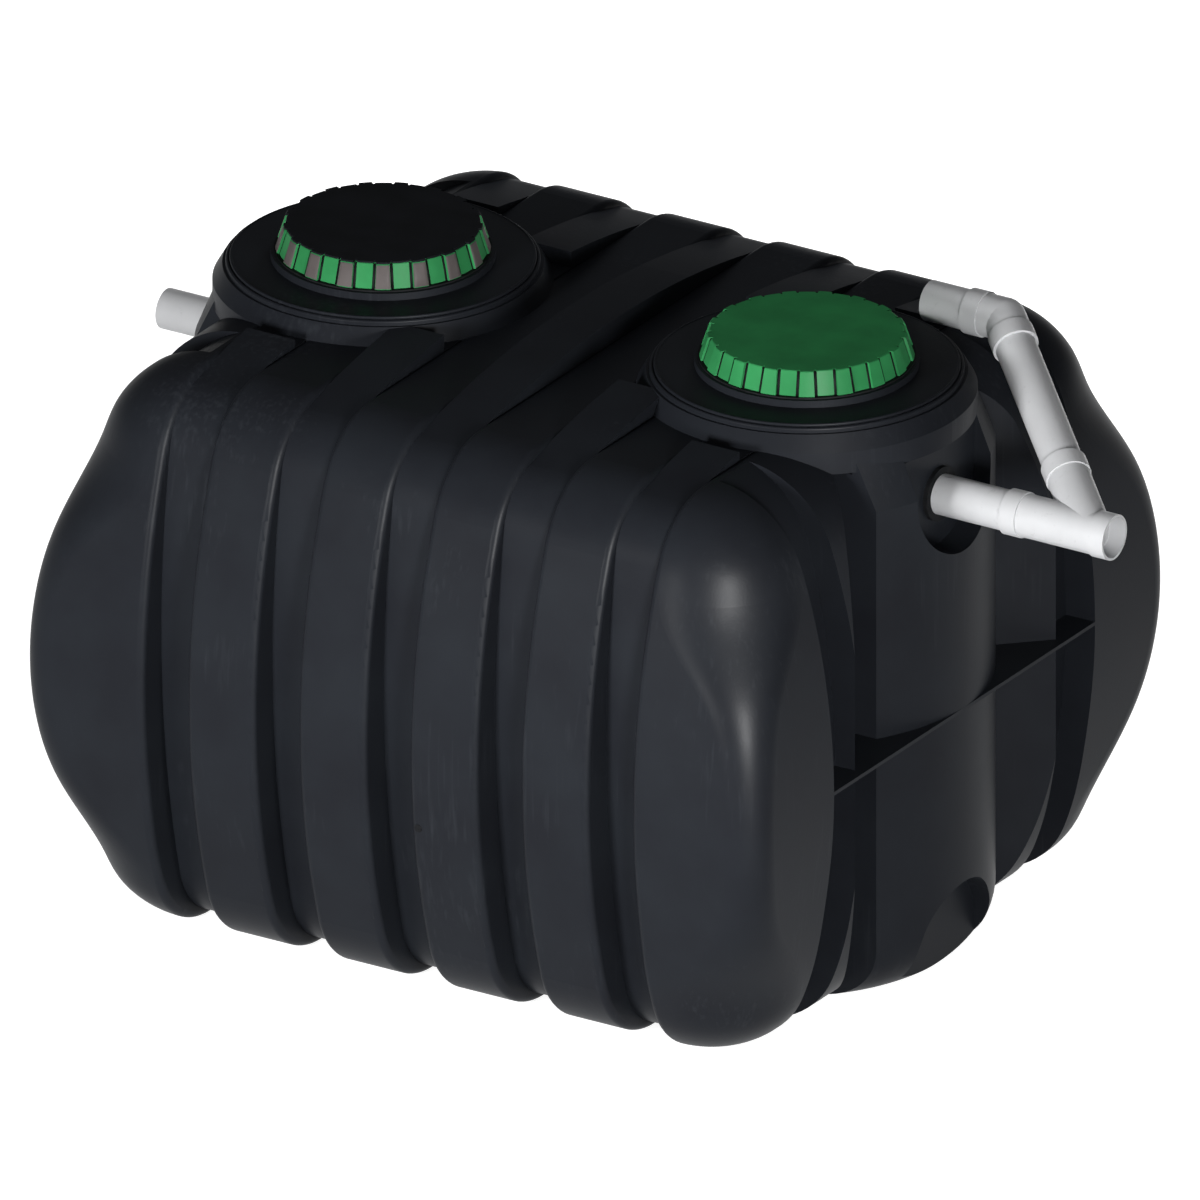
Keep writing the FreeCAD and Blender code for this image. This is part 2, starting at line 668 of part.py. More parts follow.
# Turned pieces on the necks
def turned(name, points, x, z):
    """A body turned about an upright axis from an outline of radius and height."""
    body = doc.addObject("PartDesign::Body", name)
    plane = [f for f in body.Origin.OriginFeatures if f.Role == "XZ_Plane"][0]
    sketch = body.newObject("Sketcher::SketchObject", name + "_outline")
    sketch.AttachmentSupport = (plane, [""])
    sketch.MapMode = "FlatFace"
    corners = [Vector(number(r), number(h), 0) for r, h in points]
    lines = []
    for start, end in zip(corners, corners[1:] + corners[:1]):
        lines.append(sketch.addGeometry(Part.LineSegment(start, end)))
    for first, second in zip(lines, lines[1:] + lines[:1]):
        sketch.addConstraint(Sketcher.Constraint("Coincident", first, 2, second, 1))
    for count, (line, corner, (r, h)) in enumerate(zip(lines, corners, points)):
        index = sketch.addConstraint(Sketcher.Constraint("DistanceX", line, 1, corner.x))
        dimension(sketch, "r%d_at" % count, index, r)
        index = sketch.addConstraint(Sketcher.Constraint("DistanceY", line, 1, corner.y))
        dimension(sketch, "h%d_at" % count, index, h)
    turn = body.newObject("PartDesign::Revolution", name + "_turn")
    turn.Profile = sketch
    turn.ReferenceAxis = (sketch, ["V_Axis"])
    turn.Angle = 360
    body.Tip = turn
    bind(body, Placement__Base__x=x, Placement__Base__z=z)
    return body


SKIRT_TOP = "(tank_height + skirt_height)"
FLANGE_TOP = "(%s + flange_height)" % SKIRT_TOP
SEAL_TOP = "(%s + collar_height + seal_height)" % FLANGE_TOP


def lid(name, x):
    """A screw lid: a tapered cap with notches between the lugs round its rim."""
    slope = "(lid_base - lid_top) / lid_height"
    points = [
        ("lid_base - lid_skin - lid_notch", "0"),
        ("lid_base", "0"),
        ("lid_top", "lid_height"),
        ("0", "lid_height"),
        ("0", "lid_height - lid_skin"),
        ("lid_top - lid_skin - lid_notch + %s * lid_skin" % slope, "lid_height - lid_skin"),
    ]
    body = turned(name, points, x, SEAL_TOP)
    notch = body.newObject("PartDesign::SubtractiveWedge", name + "_notch")
    bind(
        notch,
        Xmin="-lug_gap_low / 2",
        Xmax="lug_gap_low / 2",
        X2min="-lug_gap_top / 2",
        X2max="lug_gap_top / 2",
        Ymin="0",
        Ymax="lid_height - 4",
        Zmin="lid_base - lid_notch",
        Zmax="lid_base + 40",
        Z2min="lid_top - lid_notch",
        Z2max="lid_top + 40",
    )
    notch.Placement = Placement(Vector(0, 0, 0), Rotation(Vector(1, 0, 0), 90))
    ring = body.newObject("PartDesign::PolarPattern", name + "_notches")
    ring.Originals = [notch]
    axis = [f for f in body.Origin.OriginFeatures if f.Role == "Z_Axis"][0]
    ring.Axis = (axis, [""])
    ring.Angle = 360
    ring.Occurrences = LUGS
    body.Tip = ring
    return body


for side, sign in (("inlet", 1), ("outlet", -1)):
    x = "%d * neck_x" % sign
    points = [
        ("manhole_radius + spigot_wall", "0"),
        ("flange_radius", "0"),
        ("flange_radius", "flange_height * 0.4"),
        ("flange_step", "flange_height * 0.4"),
        ("flange_step", "flange_height"),
        ("manhole_radius + spigot_wall", "flange_height"),
    ]
    keep(turned(side + "_neck_flange", points, x, SKIRT_TOP))
    points = [
        ("manhole_radius + spigot_wall", "0"),
        ("collar_radius", "0"),
        ("collar_radius", "collar_height"),
        ("manhole_radius + spigot_wall", "collar_height"),
    ]
    keep(turned(side + "_lid_collar", points, x, FLANGE_TOP))
    outside = "manhole_radius + spigot_wall"
    points = [
        ("manhole_radius", "0"),
        (outside, "0"),
        (outside, "flange_height + collar_height + 12"),
        (outside + " + thread_out", "flange_height + collar_height + 15"),
        (outside, "flange_height + collar_height + 18"),
        (outside, "flange_height + collar_height + 28"),
        (outside + " + thread_out", "flange_height + collar_height + 31"),
        (outside, "flange_height + collar_height + 34"),
        (outside, "flange_height + spigot_height"),
        ("manhole_radius", "flange_height + spigot_height"),
    ]
    keep(turned(side + "_lid_spigot", points, x, SKIRT_TOP))
    points = [
        ("lid_base - lid_skin - lid_notch", "0"),
        ("lid_base + 3", "0"),
        ("lid_base + 3", "seal_height"),
        ("lid_base - lid_skin - lid_notch", "seal_height"),
    ]
    keep(turned(side + "_lid_seal", points, x, "%s + collar_height" % FLANGE_TOP))
    keep(lid(side + "_lid", x))
points = [("0", "0"), ("cover_radius", "0"), ("cover_radius", "cover_thick"), ("0", "cover_thick")]
keep(turned("outlet_lid_cover", points, "-neck_x", "%s + lid_height" % SEAL_TOP))


# Drain pipes and fittings
def direction(roll):
    """The way of the branch: back towards the tank at 45 degrees, rolled up from level."""
    level = math.radians(roll)
    return Vector(-1, math.cos(level), math.sin(level)) * math.sqrt(0.5)


BRANCH = direction(S["branch_roll"])
BRANCH_TURN = Rotation(Vector(0, 0, 1), BRANCH)
FORMULA = ["-sqrt(0.5)", "sqrt(0.5) * cos(branch_roll * 1 deg)", "sqrt(0.5) * sin(branch_roll * 1 deg)"]


def along(distance):
    """Bound coordinates at a distance out along the branch."""
    starts = ["branch_x", "0", "inlet_level"]
    return ["%s + (%s) * %s" % (s, distance, f) for s, f in zip(starts, FORMULA)]


def tube(name, outside, inside, length, x="0", y="0", z="0", turn=UPRIGHT):
    """A pipe from a bound point."""
    solid = rod(name + "_outside", outside, length, x, y, z, turn)
    hollow = rod(name + "_inside", inside, length, x, y, z, turn)
    return cut(name, solid, hollow)


BORE = "(pipe_radius - pipe_wall)"
WEST = Rotation(Vector(0, 1, 0), -90)
pad = "(%s - pad_setback)" % LONG
start = "%s - pipe_inside" % pad
length = "wye_start + socket_depth - (%s)" % start
keep(tube("inlet_pipe", "pipe_radius", BORE, length, start, "0", "inlet_level", X_WAYS))
keep(tube("inlet_pipe_seal", "seal_radius", "pipe_radius", "seal_thick", pad, "0", "inlet_level", X_WAYS))
far = ["0", "outlet_level"]
length = "outlet_reach - (%s)" % start
stop = "-(%s + seal_thick)" % pad
solids = [
    rod("outlet_spigot", "pipe_radius", length, "-(%s)" % start, *far, WEST),
    rod("outlet_stop", "stop_radius", "stop_width", stop, *far, WEST),
]
hollow = rod("outlet_bore", BORE, length, "-(%s)" % start, *far, WEST)
keep(cut("outlet_pipe", fuse("outlet_solid", solids), hollow))
keep(tube("outlet_pipe_seal", "seal_radius", "pipe_radius", "seal_thick", "-" + pad, *far, WEST))

run = ["0", "inlet_level"]
solids = [
    rod("wye_run", "fitting_radius", "wye_end - wye_start", "wye_start", *run, X_WAYS),
    rod("wye_tank_socket", "socket_radius", "socket_depth", "wye_start", *run, X_WAYS),
    rod("wye_mouth_socket", "socket_radius", "socket_depth", "wye_end - socket_depth", *run, X_WAYS),
    rod("wye_branch", "fitting_radius", "branch_reach", *along("0"), BRANCH_TURN),
    rod("wye_branch_socket", "socket_radius", "socket_depth", *along("branch_reach - socket_depth"), BRANCH_TURN),
]
hollows = [
    rod("wye_run_bore", BORE, "wye_end - wye_start", "wye_start", *run, X_WAYS),
    rod("wye_tank_bore", "pipe_radius", "socket_depth", "wye_start", *run, X_WAYS),
    rod("wye_mouth_bore", "pipe_radius", "socket_depth", "wye_end - socket_depth", *run, X_WAYS),
    rod("wye_branch_bore", BORE, "branch_reach", *along("0"), BRANCH_TURN),
    rod("wye_riser_bore", "pipe_radius", "socket_depth", *along("branch_reach - socket_depth"), BRANCH_TURN),
]
keep(cut("inlet_wye", fuse("wye_solid", solids), fuse("wye_hollow", hollows)))

riser_from = "branch_reach - socket_depth"
riser_to = "riser_length - elbow_leg + socket_depth"
length = "(%s) - (%s)" % (riser_to, riser_from)
keep(tube("vent_riser", "pipe_radius", BORE, length, *along(riser_from), BRANCH_TURN))

bend = along("riser_length")
back = Rotation(Vector(0, 0, 1), BRANCH * -1)
west_socket = ["%s - (elbow_leg - socket_depth)" % bend[0], bend[1], bend[2]]
leg_end = along("riser_length - elbow_leg + socket_depth")
solids = [
    ball("elbow_ball", "fitting_radius", *bend),
    rod("elbow_in", "fitting_radius", "elbow_leg", *bend, back),
    rod("elbow_in_socket", "socket_radius", "socket_depth", *leg_end, back),
    rod("elbow_out", "fitting_radius", "elbow_leg", *bend, WEST),
    rod("elbow_out_socket", "socket_radius", "socket_depth", *west_socket, WEST),
]
hollows = [
    ball("elbow_ball_bore", BORE, *bend),
    rod("elbow_in_bore", BORE, "elbow_leg", *bend, back),
    rod("elbow_in_fit", "pipe_radius", "socket_depth", *leg_end, back),
    rod("elbow_out_bore", BORE, "elbow_leg", *bend, WEST),
    rod("elbow_out_fit", "pipe_radius", "socket_depth", *west_socket, WEST),
]
keep(cut("vent_elbow", fuse("elbow_solid", solids), fuse("elbow_hollow", hollows)))
length = "(%s) - vent_end" % west_socket[0]
keep(tube("vent_pipe", "pipe_radius", BORE, length, *west_socket, WEST))

doc.recompute()

for made in doc.Objects:
    if "Invalid" in made.State or "Error" in made.State:
        raise RuntimeError("not built: %s" % made.Name)
os.makedirs("parts", exist_ok=True)
for node in NODES:
    shape = node.Shape
    if shape.isNull() or not shape.isValid():
        raise RuntimeError("bad shape: %s" % node.Name)
    shape.exportStep("parts/%s.step" % node.Label)
    print("%-18s solids %d faces %3d volume %.5f m3" % (
        node.Label, len(shape.Solids), len(shape.Faces), shape.Volume / 1e9))
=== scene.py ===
# %% [markdown]
# # A buried sewage treatment tank
# The object is a ribbed black plastic tank with two manholes under screw lids,
# light grey drain pipes and a short vent pipe over its roof. The solid shapes
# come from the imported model. This lesson gives them their finishes, adds the
# small mouldings that are too fine for the solids, and sets up floor, light and
# camera.

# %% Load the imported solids
import bmesh
import bpy
import json
import math
import numpy as np
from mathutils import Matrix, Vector


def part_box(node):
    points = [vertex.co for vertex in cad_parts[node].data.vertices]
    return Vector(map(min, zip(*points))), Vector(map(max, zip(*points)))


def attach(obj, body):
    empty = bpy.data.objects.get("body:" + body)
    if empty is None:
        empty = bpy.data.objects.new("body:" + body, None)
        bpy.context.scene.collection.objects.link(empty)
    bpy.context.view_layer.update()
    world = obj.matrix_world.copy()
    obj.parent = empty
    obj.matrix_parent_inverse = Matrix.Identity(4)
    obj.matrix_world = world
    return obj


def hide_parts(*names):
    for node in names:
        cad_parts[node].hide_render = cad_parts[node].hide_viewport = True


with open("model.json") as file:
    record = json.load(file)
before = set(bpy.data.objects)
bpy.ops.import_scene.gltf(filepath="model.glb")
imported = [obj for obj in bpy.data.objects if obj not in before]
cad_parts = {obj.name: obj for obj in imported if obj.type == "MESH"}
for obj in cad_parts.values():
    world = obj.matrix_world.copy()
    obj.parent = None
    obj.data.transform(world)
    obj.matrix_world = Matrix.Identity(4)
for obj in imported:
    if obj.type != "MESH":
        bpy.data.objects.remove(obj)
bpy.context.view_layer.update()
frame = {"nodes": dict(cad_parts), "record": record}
nodes = frame["nodes"]
print("solids loaded:", len(nodes))

# %% [markdown]
# ## Colours and shader nodes
# Colours are written as the hex values that a paint program shows. One function
# turns them into the linear values that the renderer works with. Another adds one
# shader node, and sets or links its sockets. A few more wrap the nodes that every
# finish here is made of, so that a finish reads as a short list of patterns.

# %% Colour conversion and the node helper
MM = 0.001
WHITE = (1, 1, 1, 1)


def linear(hex_code):
    """Linear RGBA of an sRGB hex code: each channel goes through the sRGB curve."""
    channels = np.array([int(hex_code[i:i + 2], 16) for i in (1, 3, 5)]) / 255.0
    low = channels / 12.92
    high = ((channels + 0.055) / 1.055) ** 2.4
    return (*np.where(channels <= 0.04045, low, high), 1.0)


def add(tree, kind, inputs=None, **settings):
    """Add a node and set its attributes. An input that is another node's socket is
    linked, and any other value is set."""
    node = tree.nodes.new(kind)
    for key, value in settings.items():
        setattr(node, key, value)
    for socket, value in (inputs or {}).items():
        if isinstance(value, bpy.types.NodeSocket):
            tree.links.new(value, node.inputs[socket])
        else:
            node.inputs[socket].default_value = value
    return node


def blank_finish(name):
    """A material with an empty node tree, and the piece's own coordinates in metres."""
    material = bpy.data.materials.new(name)
    material.use_nodes = True
    tree = material.node_tree
    tree.nodes.clear()
    return material, tree, add(tree, "ShaderNodeTexCoord").outputs["Object"]


# %% The nodes of a finish
def per_mm(size):
    """Noise scale for features of a size in millimetres on coordinates in metres."""
    return 1.0 / (size * MM)


def noise(tree, place, size, detail, roughness=0.5):
    """A noise pattern with features of a size in millimetres."""
    inputs = {"Vector": place, "Scale": per_mm(size), "Detail": detail, "Roughness": roughness}
    return add(tree, "ShaderNodeTexNoise", inputs).outputs["Fac"]


def spread(tree, pattern, low, high, out_low=0.0, out_high=1.0):
    """Stretch the part of a pattern from low to high over another range."""
    inputs = {"Value": pattern, "From Min": low, "From Max": high,
              "To Min": out_low, "To Max": out_high}
    return add(tree, "ShaderNodeMapRange", inputs).outputs["Result"]


def blend(tree, share, first, second):
    """A colour that goes from the first to the second as the share goes from 0 to 1."""
    inputs = {"Fac": share, "Color1": first, "Color2": second}
    return add(tree, "ShaderNodeMixRGB", inputs).outputs["Color"]


def bump(tree, pattern, strength, deep):
    """Relief after a pattern, for a depth in millimetres."""
    inputs = {"Height": pattern, "Strength": strength, "Distance": deep * MM}
    return add(tree, "ShaderNodeBump", inputs).outputs["Normal"]


def surface(tree, colour, roughness, normal, ior, shine):
    """End a finish with its surface; shine is the strength of its reflections."""
    inputs = {"Base Color": colour, "Roughness": roughness, "Normal": normal,
              "IOR": ior, "Specular IOR Level": shine}
    shader = add(tree, "ShaderNodeBsdfPrincipled", inputs)
    add(tree, "ShaderNodeOutputMaterial", {"Surface": shader.outputs["BSDF"]})


# %% [markdown]
# ## Rotationally moulded polyethylene
# The tank is polyethylene powder melted on to the inside of a hot turning mould.
# The skin cools slowly, so it comes out matte and a little waxy: black with cloudy
# patches of slightly different depth, a fine orange-peel grain, and pale rubs where
# the tank was dragged and strapped. Its gloss is weak, so a lamp leaves one broad
# soft highlight on each rounded corner and the flats stay black. The real grain is
# about 1 mm wide; it is drawn 6 mm wide here, because anything finer is lost in the
# render.

# %% Polyethylene
black_polyethylene, tree, place = blank_finish("rotomoulded_black_polyethylene")
cloud = noise(tree, place, size=240, detail=5.0)
skin = blend(tree, spread(tree, cloud, 0.32, 0.68), linear("#202227"), linear("#24272c"))

# Rubs are drawn out along the height, and come in patches.
stretch = (per_mm(14), per_mm(14), per_mm(260))
drawn = add(tree, "ShaderNodeMapping", {"Vector": place, "Scale": stretch}).outputs["Vector"]
drag = add(tree, "ShaderNodeTexNoise", {"Vector": drawn, "Scale": 1.0, "Detail": 3.0})
patch = noise(tree, place, size=420, detail=2.0)
mark = add(tree, "ShaderNodeMath", {0: drag.outputs["Fac"], 1: patch}, operation="MULTIPLY")
rub = spread(tree, mark.outputs[0], 0.33, 0.50, out_high=0.55)
worn = blend(tree, rub, skin, linear("#32353a"))

# The relief is the grain on top of a slow wave.
WAVE_WEIGHT = 1.5
grain = noise(tree, place, size=6, detail=2.0)
wave = noise(tree, place, size=150, detail=1.0)
relief = add(tree, "ShaderNodeMath", {0: wave, 1: WAVE_WEIGHT, 2: grain},
             operation="MULTIPLY_ADD")
surface(tree, worn, spread(tree, cloud, 0.3, 0.7, 0.40, 0.46),
        bump(tree, relief.outputs[0], strength=0.35, deep=0.5), ior=1.51, shine=0.05)
print("finish:", black_polyethylene.name)

# %% [markdown]
# ## Injection-moulded lid plastics
# The screw lids are green polypropylene, injection moulded against a spark-eroded
# mould: an even satin with a very fine grain and slow flow clouds. The cover disc on
# one lid is the same kind of plastic in black, and the grip pads on that lid's lugs
# are a grey-brown one, here called taupe. The three differ in colour only, so one
# small loop makes them. The real grain, about 0.5 mm, is drawn 3 mm wide so that it
# shows.

# %% Green, black and taupe polypropylene
lid_plastics = {}
for hue, deep, pale in (("green", "#348b52", "#3b995b"),
                        ("black", "#1b1d20", "#222428"),
                        ("taupe", "#625c5b", "#6d6766")):
    material, tree, place = blank_finish(f"injection_moulded_{hue}_polypropylene")
    flow = noise(tree, place, size=110, detail=4.0)
    colour = blend(tree, spread(tree, flow, 0.35, 0.65), linear(deep), linear(pale))
    gloss = spread(tree, flow, 0.3, 0.7, 0.36, 0.46)
    spark = bump(tree, noise(tree, place, size=3, detail=2.0), strength=0.18, deep=0.3)
    surface(tree, colour, gloss, spark, ior=1.49, shine=0.03)
    lid_plastics[hue] = material
print("finishes:", [material.name for material in lid_plastics.values()])

# %% [markdown]
# ## Extruded PVC and moulded rubber
# Drain pipe is light grey PVC pushed through a die and cooled in water, so it is
# smooth with a soft shine and hardly any pattern: slow clouds and a few dull
# handling marks. The seals are black EPDM rubber, darker and duller than the tank,
# with the bloom that rubber gets in store.

# %% PVC
grey_pvc, tree, place = blank_finish("extruded_light_grey_pvc")
cloud = noise(tree, place, size=160, detail=4.0)
clean = blend(tree, spread(tree, cloud, 0.35, 0.65), linear("#d3d4d6"), linear("#dcdddf"))
scuff = noise(tree, place, size=28, detail=6.0, roughness=0.7)
dull = spread(tree, scuff, 0.60, 0.74, out_high=0.5)
handled = blend(tree, dull, clean, linear("#b9babb"))
gloss = spread(tree, scuff, 0.4, 0.75, 0.30, 0.46)
ripple = bump(tree, noise(tree, place, size=40, detail=1.0), strength=0.15, deep=0.3)
surface(tree, handled, gloss, ripple, ior=1.53, shine=0.1)
print("finish:", grey_pvc.name)

# %% Rubber
RUBBER_ROUGHNESS = 0.62
seal_rubber, tree, place = blank_finish("moulded_epdm_rubber")
bloom = noise(tree, place, size=45, detail=5.0)
colour = blend(tree, spread(tree, bloom, 0.35, 0.70), linear("#151618"), linear("#232426"))
pitted = bump(tree, noise(tree, place, size=3, detail=2.0), strength=0.2, deep=0.3)
surface(tree, colour, RUBBER_ROUGHNESS, pitted, ior=1.5, shine=0.05)
print("finish:", seal_rubber.name)

# %% [markdown]
# ## Dressing the solids
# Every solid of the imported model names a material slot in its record. Each slot
# gets one finish.

# %% Put the finishes on the solids
finishes = {
    "black_polyethylene": black_polyethylene,
    "black_cover_plastic": lid_plastics["black"],
    "green_lid_plastic": lid_plastics["green"],
    "grey_pvc": grey_pvc,
    "seal_rubber": seal_rubber,
}
for entry in frame["record"]["subparts"]:
    solid = nodes[entry["node"]]
    solid.data.materials.clear()
    solid.data.materials.append(finishes[entry["material_slot"]])

# %% [markdown]
# ## Grids into meshes
# Each added piece is a surface worked out on a grid of two parameters. The first
# helper turns a stack of such grids into one mesh of four-sided faces. The others
# close a turned shape, give a sheet its thickness, and find the axis that a round
# piece turns about.

# %% Mesh helper
def mesh_from_grids(name, grids, finish, closed=False):
    """One mesh over a stack of grids of points (count, rows, columns, xyz).

    Neighbouring points of a grid make a four-sided face; closed joins the last row
    to the first one.
    """
    count, rows, columns = grids.shape[:3]
    index = np.arange(count * rows * columns).reshape(count, rows, columns)
    if closed:
        index = np.concatenate([index, index[:, :1]], axis=1)
    corners = [index[:, :-1, :-1], index[:, 1:, :-1], index[:, 1:, 1:], index[:, :-1, 1:]]
    faces = np.stack(corners, axis=-1).reshape(-1, 4)
    mesh = bpy.data.meshes.new(name)
    mesh.from_pydata(grids.reshape(-1, 3).tolist(), [], faces.tolist())
    mesh.polygons.foreach_set("use_smooth", np.ones(len(mesh.polygons), dtype=bool))
    mesh.materials.append(finish)
    made = bpy.data.objects.new(name, mesh)
    bpy.context.scene.collection.objects.link(made)
    return made


# %% Closing poles and seams
SAME_POINT, SHARP_TURN = 0.01 * MM, math.radians(30)


def close_up(piece):
    """Merge the points that a turned shape repeats on its axis, turn its faces outwards,
    and keep the edges sharp where it turns by more than 30 degrees."""
    shape = bmesh.new()
    shape.from_mesh(piece.data)
    bmesh.ops.remove_doubles(shape, verts=shape.verts, dist=SAME_POINT)
    bmesh.ops.recalc_face_normals(shape, faces=shape.faces)
    shape.to_mesh(piece.data)
    shape.free()
    piece.data.set_sharp_from_angle(angle=SHARP_TURN)


# %% Giving a sheet its thickness
def thicken(piece, thick):
    """Make a closed body of a sheet, by a second sheet at a distance behind the first."""
    body = piece.modifiers.new("thickness", "SOLIDIFY")
    body.thickness = thick
    body.offset = -1.0


# %% Turning about an axis
FULL_TURN = 2 * math.pi


def upright(name):
    """The middle of a solid's box, where its axis stands, and its foot and top heights."""
    low, high = (np.array(corner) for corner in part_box(name))
    return (low + high) / 2, low[2], high[2]


def round_axis(axis, reach, angle, height):
    """Points round an upright axis at (ax, ay), by reach r, angle t and height h:
    (x, y, z) = (ax + r cos t, ay + r sin t, h)."""
    return np.stack([axis[0] + reach * np.cos(angle), axis[1] + reach * np.sin(angle),
                     height + 0 * angle], axis=-1)


# %% [markdown]
# ## Screw lids
# Both lids are shallow cones with seventeen lugs round the rim for the spanner that
# unscrews them. The lugs run up to the top face and leave it with a toothed edge,
# which the solids keep simpler. A lid is one closed shell of two parameters. The first
# goes round the axis in stations: the middle of a gap, a narrow slot beside the lug,
# the middle of the lug, and the same again on the other side. The second goes along an
# outline from the middle of the top over the rim, round the foot and back under the
# top. A lug narrows towards the top, so the angle of a station depends on the height.
# A black rubber strip lies in each slot as painted shade: a dark sheet that darkens the slot,
# so the lugs stand off with dark lines.

# %% Lid sizes and stations
LIDS = ("inlet_lid", "outlet_lid")
LUGS = 17
SHARE = FULL_TURN / LUGS
LID_BASE, LID_TOP, LID_HEIGHT = 283 * MM, 262 * MM, 65 * MM
LID_WALL, LID_SKIN, LID_EDGE, LID_LEDGE = 14 * MM, 6 * MM, 2 * MM, 10 * MM
LUG_LOW, LUG_HIGH, LUG_PROUD = 42 * MM, 35 * MM, 6 * MM
SLOT_WIDE, SLOT_DEEP = 9 * MM, 12 * MM

# The stations of one lug, from the middle of the gap before it to the gap after it: how
# many lug half-widths, slot widths and half gaps each is from the middle of the lug.
lug_part = np.array([-1, -1, -1, -1, -1, -1, -0.5, 0, 0.5, 1, 1, 1, 1, 1])
slot_part = np.array([-1, -1, -1, -0.8, -0.2, 0, 0, 0, 0, 0, 0.2, 0.8, 1, 1])
gap_part = np.array([-1, -0.5, 0, 0, 0, 0, 0, 0, 0, 0, 0, 0, 0, 0.5])
in_slot = (np.abs(slot_part) > 0) & (np.abs(slot_part) < 1)
on_gap = np.abs(slot_part) == 1
lug_depth = np.tile(LUG_PROUD * on_gap + SLOT_DEEP * in_slot, LUGS)[:, None]


def lid_cone(up):
    """Radius of the lug faces at a share of the lid's height: an even taper."""
    return LID_BASE + (LID_TOP - LID_BASE) * up


def lug_half(up):
    """Half the width of a lug at a share of the lid's height, as an angle."""
    return (LUG_LOW + (LUG_HIGH - LUG_LOW) * up) / 2 / lid_cone(up)


def lug_centre(lug):
    """Angle of a lug's middle; a gap, not a lug, faces the front."""
    return -math.pi / 2 + (lug + 0.5) * SHARE


def station_angles(up):
    """Angle of every station round the lid (rows) at every share of the height (columns).

    From a lug's middle, a station is some lug half-widths away, then some slot widths,
    then a part of what is left of half the gap.
    """
    slot = SLOT_WIDE / lid_cone(up)
    gap = SHARE / 2 - lug_half(up) - slot
    offset = (np.outer(lug_part, lug_half(up)) + np.outer(slot_part, slot)
              + np.outer(gap_part, gap))
    return (lug_centre(np.arange(LUGS))[:, None, None] + offset).reshape(-1, len(up))


# %% Both lids
# The outline, point by point: share of the height, share of the radius, distance inside
# the lug faces, and whether the lugs show there.
UNDER = 1 - LID_SKIN / LID_HEIGHT
outline = np.array([
    (1, 0, 0, 0),            # the top, from the middle to its toothed edge
    (1, 0.5, 0, 0),
    (1, 1, LID_LEDGE, 1),
    (1, 1, LID_EDGE, 1),
    (0.97, 1, 0, 1),         # the lug faces, down to the foot
    (0.03, 1, 0, 1),
    (0, 1, LID_EDGE, 1),
    (0, 1, LID_WALL, 0),     # the inside of the rim, and back under the top
    (UNDER, 1, LID_WALL, 0),
    (UNDER, 0.5, 0, 0),
    (UNDER, 0, 0, 0),
])
up, share_out, inside, lugged = outline.T
reach = share_out * (lid_cone(up) - inside - lugged * lug_depth)

for name in LIDS:
    axis, foot, _ = upright(name)
    shell = round_axis(axis, reach, station_angles(up), foot + LID_HEIGHT * up)
    lid = mesh_from_grids(name + "_with_lugs", shell[None], lid_plastics["green"], closed=True)
    close_up(lid)
    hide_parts(name)
    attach(lid, name)
    print(lid.name, "faces:", len(lid.data.polygons))

# %% Painted shade: black rubber strips in the slots
# One strip of painted shade on each side of every lug, a dark sheet where the slot is shaded:
# across runs over the slot's width, and the strip lies a little below the gaps.
SHADE_STRIP_BELOW, SHADE_STRIP_THICK = 1.0 * MM, 2.0 * MM
across, up = np.meshgrid([0.0, 0.5, 1.0], [0.02, 0.5, 0.975], indexing="ij")
slot = SLOT_WIDE / lid_cone(up)
beside = np.stack([lug_half(up) + across * slot, -lug_half(up) - (1 - across) * slot])
angle = (lug_centre(np.arange(LUGS))[:, None, None, None] + beside).reshape(-1, *up.shape)
reach = lid_cone(up) - LUG_PROUD - SHADE_STRIP_BELOW
for name in LIDS:
    axis, foot, _ = upright(name)
    shade_strips = round_axis(axis, reach, angle, foot + LID_HEIGHT * up)
    # the strips are painted shade: black sheets that darken each slot
    made = mesh_from_grids(name + "_slot_shade_strips", shade_strips, seal_rubber)
    thicken(made, SHADE_STRIP_THICK)
    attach(made, name)
    print(made.name, "strips:", len(shade_strips))

# %% [markdown]
# ## Grip pads and cover of the outlet lid
# On the outlet lid the lugs are faced with grey-brown pads, and a black disc covers
# the whole top, with the same toothed edge. A pad follows the lid's cone: its two
# parameters are the way across the lug and the height. Its rim is sunk into the lug,
# and the rest stands proud of it. All pads are one array.

# %% Grip pads
PAD_PROUD, PAD_SUNK, PAD_THICK = 1.0 * MM, 0.3 * MM, 2.0 * MM
lid_axis, lid_foot, _ = upright("outlet_lid")
across, up = np.meshgrid([-1.0, -0.94, -0.5, 0.0, 0.5, 0.94, 1.0],
                         [0.03, 0.06, 0.5, 0.94, 0.97], indexing="ij")
rim = (np.abs(across) == 1) | (up == up.min()) | (up == up.max())
reach = lid_cone(up) + np.where(rim, -PAD_SUNK, PAD_PROUD)
angle = lug_centre(np.arange(LUGS))[:, None, None] + across * lug_half(up)
faced = round_axis(lid_axis, reach, angle, lid_foot + LID_HEIGHT * up)
pads = mesh_from_grids("outlet_lid_grip_pads", faced, lid_plastics["taupe"])
thicken(pads, PAD_THICK)
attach(pads, "outlet_lid")
print("grip pads:", LUGS)

# %% Cover disc
# The outline again: share of the height, share of the radius, and millimetres inside
# the lug faces.
outline = np.array([(1, 0, 0), (1, 0.5, 0), (1, 1, 6), (1, 1, 1.5),
                    (0.7, 1, 0.3), (0, 1, 0.3), (0, 1, 6), (0, 0, 0)])
level, share_out, inside = outline.T
reach = share_out * (LID_TOP - inside * MM - lug_depth)
_, cover_foot, cover_top = upright("outlet_lid_cover")
disc = round_axis(lid_axis, reach, station_angles(np.ones(len(level))),
                  cover_foot + (cover_top - cover_foot) * level)
cover = mesh_from_grids("outlet_lid_toothed_cover", disc[None], lid_plastics["black"],
                        closed=True)
close_up(cover)
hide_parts("outlet_lid_cover")
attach(cover, "outlet_lid")
print("cover faces:", len(cover.data.polygons))

